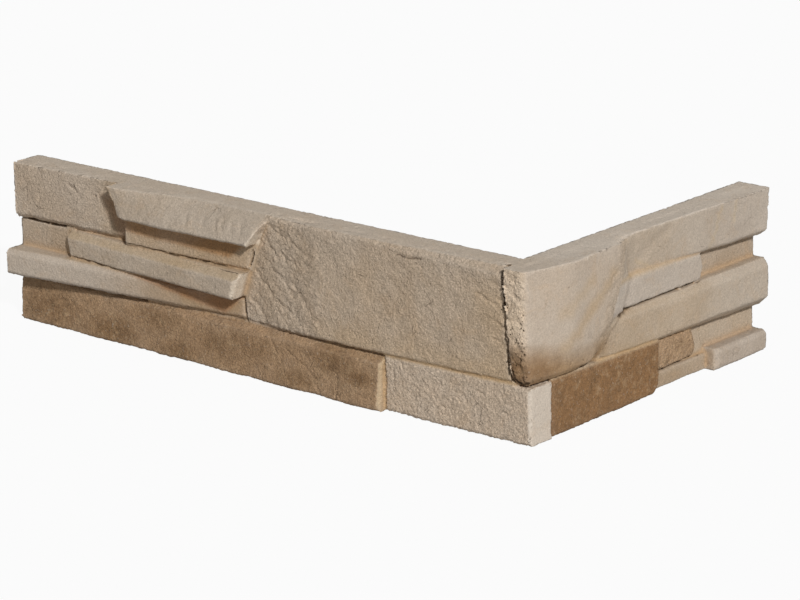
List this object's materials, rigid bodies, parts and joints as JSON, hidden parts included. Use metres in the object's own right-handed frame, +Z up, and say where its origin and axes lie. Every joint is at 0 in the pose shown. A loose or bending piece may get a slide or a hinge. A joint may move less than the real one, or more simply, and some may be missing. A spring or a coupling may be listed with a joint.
{
  "type": "stone cladding corner piece",
  "caption": "L-shaped cast stone cladding corner with stepped ledge-stone fronts on two legs that wrap an outside wall corner.",
  "frame": {"origin": "foot of the wall's corner: where the two flat backs meet, at the level of the bed", "axes": "+Z up; the long leg runs along -X with its back facing +Y, the short leg runs along +Y with its back facing -X"},
  "size_m": [0.4022, 0.2355, 0.1],
  "materials": {
    "cast_stone": "rough cast concrete stone, grey-beige with ochre and brown tints"
  },
  "bodies": {
    "root": {"stone_corner": "cast_stone"}
  },
  "joints": []
}
